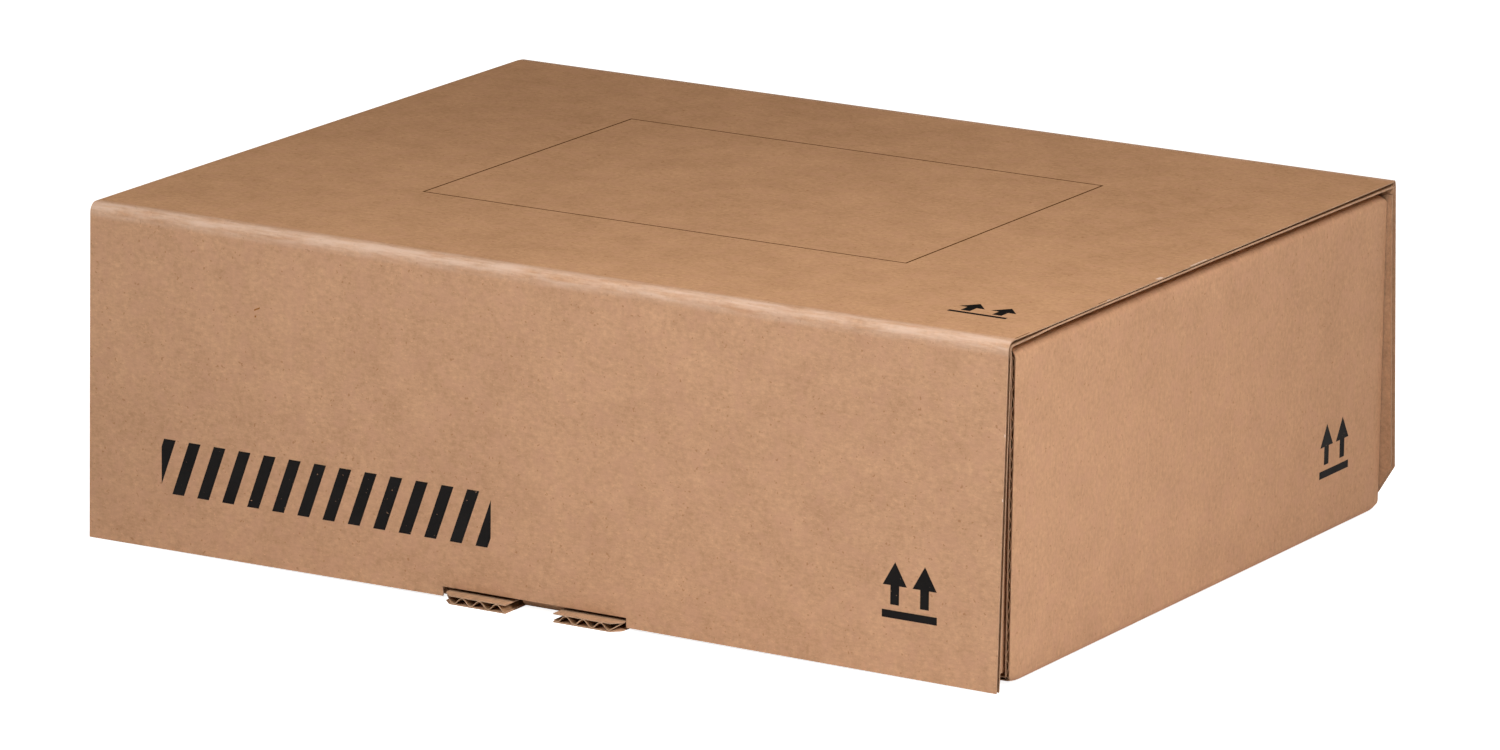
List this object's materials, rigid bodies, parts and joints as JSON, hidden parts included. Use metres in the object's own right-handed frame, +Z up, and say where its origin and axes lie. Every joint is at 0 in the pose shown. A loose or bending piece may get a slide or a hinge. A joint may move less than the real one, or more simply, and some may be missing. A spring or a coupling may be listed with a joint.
{
  "type": "corrugated mailer box",
  "caption": "Corrugated board mailer box with rolled double side walls, a hinged lid and a front flap whose notch fits over two ears.",
  "frame": {"origin": "middle of the bounding box at its lowest face, on the surface that the box stands on", "axes": "+X along the long side of the box, +Y from the front flap to the rear wall, +Z up through the lid"},
  "size_m": [0.3394, 0.2686, 0.1115],
  "materials": {
    "kraft_tray": "matt brown kraft liner over fluted board",
    "kraft_lid": "matt brown kraft liner over fluted board",
    "kraft_flap": "matt brown kraft liner over fluted board"
  },
  "bodies": {
    "tray": {"tray": "kraft_tray"},
    "lid": {"lid": "kraft_lid"},
    "front_flap": {"front_flap": "kraft_flap"}
  },
  "joints": [
    {"name": "lid_hinge", "type": "hinge", "parent": "tray", "child": "lid", "pos_m": [0, 0.13343, 0.11068], "axis": [-1, 0, 0], "range_deg": [0, 180]},
    {"name": "front_flap_hinge", "type": "hinge", "parent": "lid", "child": "front_flap", "pos_m": [0, -0.12893, 0.11068], "axis": [-1, 0, 0], "range_deg": [0, 120]}
  ]
}
